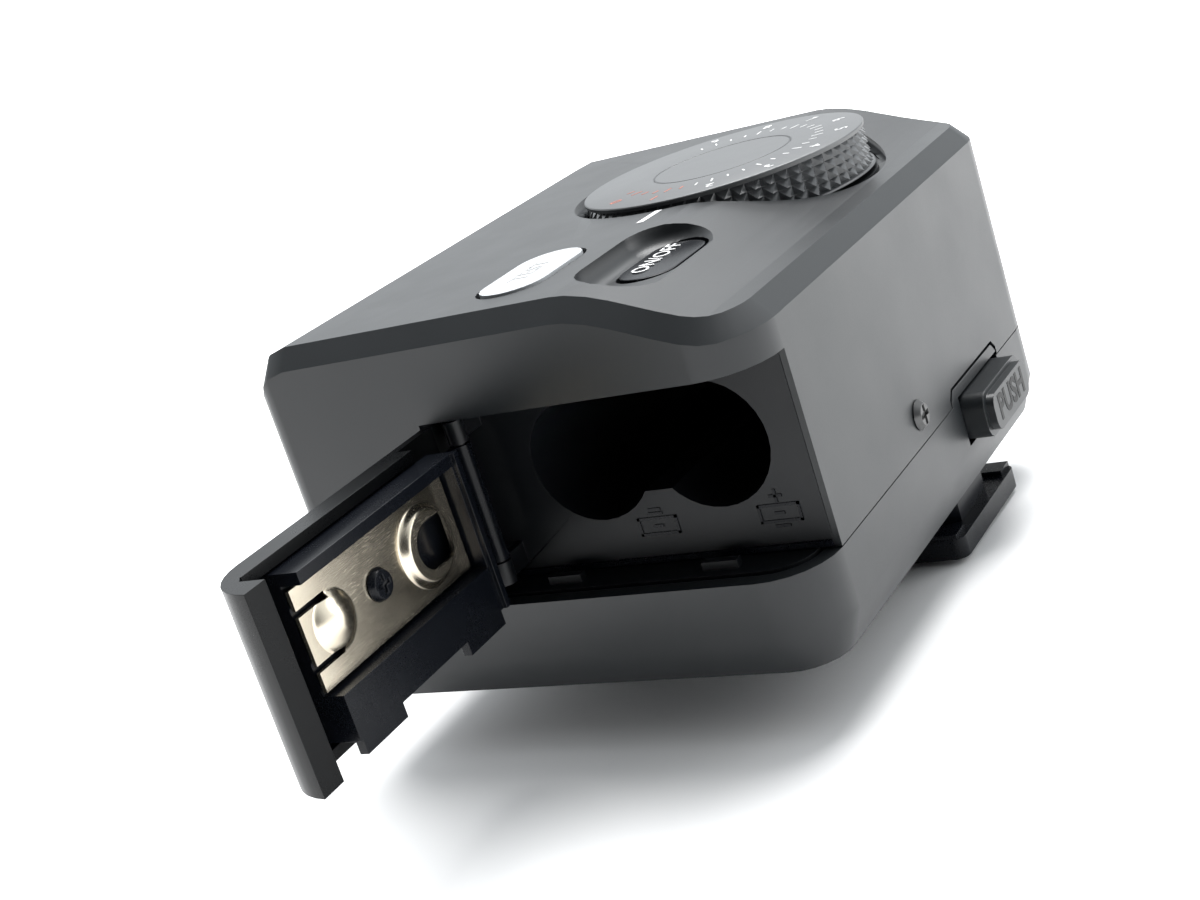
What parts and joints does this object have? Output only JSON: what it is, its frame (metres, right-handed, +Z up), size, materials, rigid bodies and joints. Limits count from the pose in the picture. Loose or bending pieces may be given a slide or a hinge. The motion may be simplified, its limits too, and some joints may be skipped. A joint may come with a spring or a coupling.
{
  "type": "compact hot-shoe flash unit",
  "caption": "Small hot-shoe flash with an output dial and push buttons on top, a lift-up head and a hinged battery door that stands open.",
  "frame": {"origin": "centre of the underside of the hot-shoe foot", "axes": "+X towards the battery end with the open door, +Y towards the back with the release button, +Z up to the dial"},
  "size_m": [0.0985, 0.0547, 0.0431],
  "materials": {
    "dark_grey_shell": "satin dark grey paint on plastic",
    "black_plastic": "moulded black",
    "nickel": "warm nickel plate",
    "steel": "plain steel",
    "zinc_black_screw": "black oxide",
    "rubber_pad": "soft black",
    "milk_plastic": "translucent white",
    "clear_window": "ribbed clear plastic",
    "flash_glass": "polished",
    "mirror_sheet": "bright rolled sheet",
    "board": "solder mask green",
    "capacitor_sleeve": "shrink sleeve",
    "winding_tape": "wound with tape",
    "lamp": "clear resin",
    "dark_red_window": "dark filter"
  },
  "bodies": {
    "base": {"base_tray": "dark_grey_shell", "shoe_foot": "black_plastic", "foot_screw_1": "steel", "foot_screw_2": "steel", "base_pad": "rubber_pad", "rear_arm_base_pin": "steel", "front_arm_base_pin": "steel"},
    "shoe_pin_1": {"shoe_contact_1": "nickel"},
    "shoe_pin_2": {"shoe_contact_2": "nickel"},
    "shoe_pin_3": {"shoe_contact_3": "nickel"},
    "shoe_pin_4": {"shoe_contact_4": "nickel"},
    "release": {"push_button": "dark_grey_shell", "release_latch": "steel"},
    "rear_arm": {"rear_lift_arm": "steel"},
    "front_arm": {"front_lift_arm": "steel"},
    "head": {"upper_shell": "dark_grey_shell", "battery_box": "black_plastic", "bottom_plate": "steel", "bottom_plate_screw_1": "steel", "bottom_plate_screw_2": "steel", "bottom_plate_screw_3": "steel", "bottom_plate_screw_4": "steel", "back_screw": "zinc_black_screw", "front_window": "clear_window", "reflector": "mirror_sheet", "flash_tube": "flash_glass", "main_capacitor": "capacitor_sleeve", "main_board": "board", "trigger_transformer": "winding_tape", "plate_contact": "nickel", "coil_contact": "nickel", "dial_encoder": "black_plastic", "test_switch": "black_plastic", "power_switch": "black_plastic", "ready_lamp": "lamp", "sensor_window": "dark_red_window", "light_sensor": "black_plastic", "door_hinge_pin": "steel", "rear_arm_body_pin": "steel", "front_arm_body_pin": "steel"},
    "dial": {"dial": "dark_grey_shell", "dial_shaft": "steel"},
    "test_button": {"test_button": "milk_plastic"},
    "power_button": {"power_button": "black_plastic"},
    "wide_panel": {"wide_panel": "clear_window"},
    "door_bracket": {"door_hinge_bracket": "steel"},
    "door": {"door_cover": "dark_grey_shell", "door_frame": "black_plastic", "bridge_contact": "nickel", "bridge_screw": "zinc_black_screw"}
  },
  "joints": [
    {"name": "shoe_pin_1_press", "type": "slide", "parent": "base", "child": "shoe_pin_1", "axis": [0, 0, 1], "range_m": [0, 0.0004], "stiffness_N_per_m": 300, "springref_m": -0.001},
    {"name": "shoe_pin_2_press", "type": "slide", "parent": "base", "child": "shoe_pin_2", "axis": [0, 0, 1], "range_m": [0, 0.0004], "stiffness_N_per_m": 300, "springref_m": -0.001},
    {"name": "shoe_pin_3_press", "type": "slide", "parent": "base", "child": "shoe_pin_3", "axis": [0, 0, 1], "range_m": [0, 0.0004], "stiffness_N_per_m": 300, "springref_m": -0.001},
    {"name": "shoe_pin_4_press", "type": "slide", "parent": "base", "child": "shoe_pin_4", "axis": [0, 0, 1], "range_m": [0, 0.0004], "stiffness_N_per_m": 300, "springref_m": -0.001},
    {"name": "release_press", "type": "slide", "parent": "base", "child": "release", "axis": [0, -1, 0], "range_m": [0, 0.001], "stiffness_N_per_m": 800, "springref_m": -0.002},
    {"name": "rear_arm_swing", "type": "hinge", "parent": "base", "child": "rear_arm", "pos_m": [0.011, 0.0036, 0.0123], "axis": [-1, 0, 0], "range_deg": [0, 50]},
    {"name": "head_level", "type": "hinge", "parent": "rear_arm", "child": "head", "pos_m": [0.011, -0.0224, 0.0123], "axis": [-1, 0, 0], "range_deg": [-50, 0]},
    {"name": "front_arm_swing", "type": "hinge", "parent": "base", "child": "front_arm", "pos_m": [0.011, -0.0044, 0.0093], "axis": [-1, 0, 0], "range_deg": [0, 50]},
    {"name": "dial_turn", "type": "hinge", "parent": "head", "child": "dial", "pos_m": [0, -0.0093, 0.0397], "axis": [0, 0, 1], "continuous": true},
    {"name": "test_press", "type": "slide", "parent": "head", "child": "test_button", "axis": [0, 0, -1], "range_m": [0, 0.0005], "stiffness_N_per_m": 500, "springref_m": -0.001},
    {"name": "power_press", "type": "slide", "parent": "head", "child": "power_button", "axis": [0, 0, -1], "range_m": [0, 0.0005], "stiffness_N_per_m": 500, "springref_m": -0.001},
    {"name": "wide_panel_slide", "type": "slide", "parent": "head", "child": "wide_panel", "axis": [0, 0, 1], "range_m": [0, 0.01]},
    {"name": "door_hinge", "type": "hinge", "parent": "head", "child": "door_bracket", "pos_m": [0.0415, -0.021, 0.0244], "axis": [0, 0, 1], "range_deg": [0, 90]},
    {"name": "door_slide", "type": "slide", "parent": "door_bracket", "child": "door", "axis": [1, 0, 0], "range_m": [-0.0034, 0]}
  ],
  "couplings": [
    {"joint": "head_level", "follows": "rear_arm_swing", "ratio": -1},
    {"joint": "front_arm_swing", "follows": "rear_arm_swing", "ratio": 1}
  ]
}
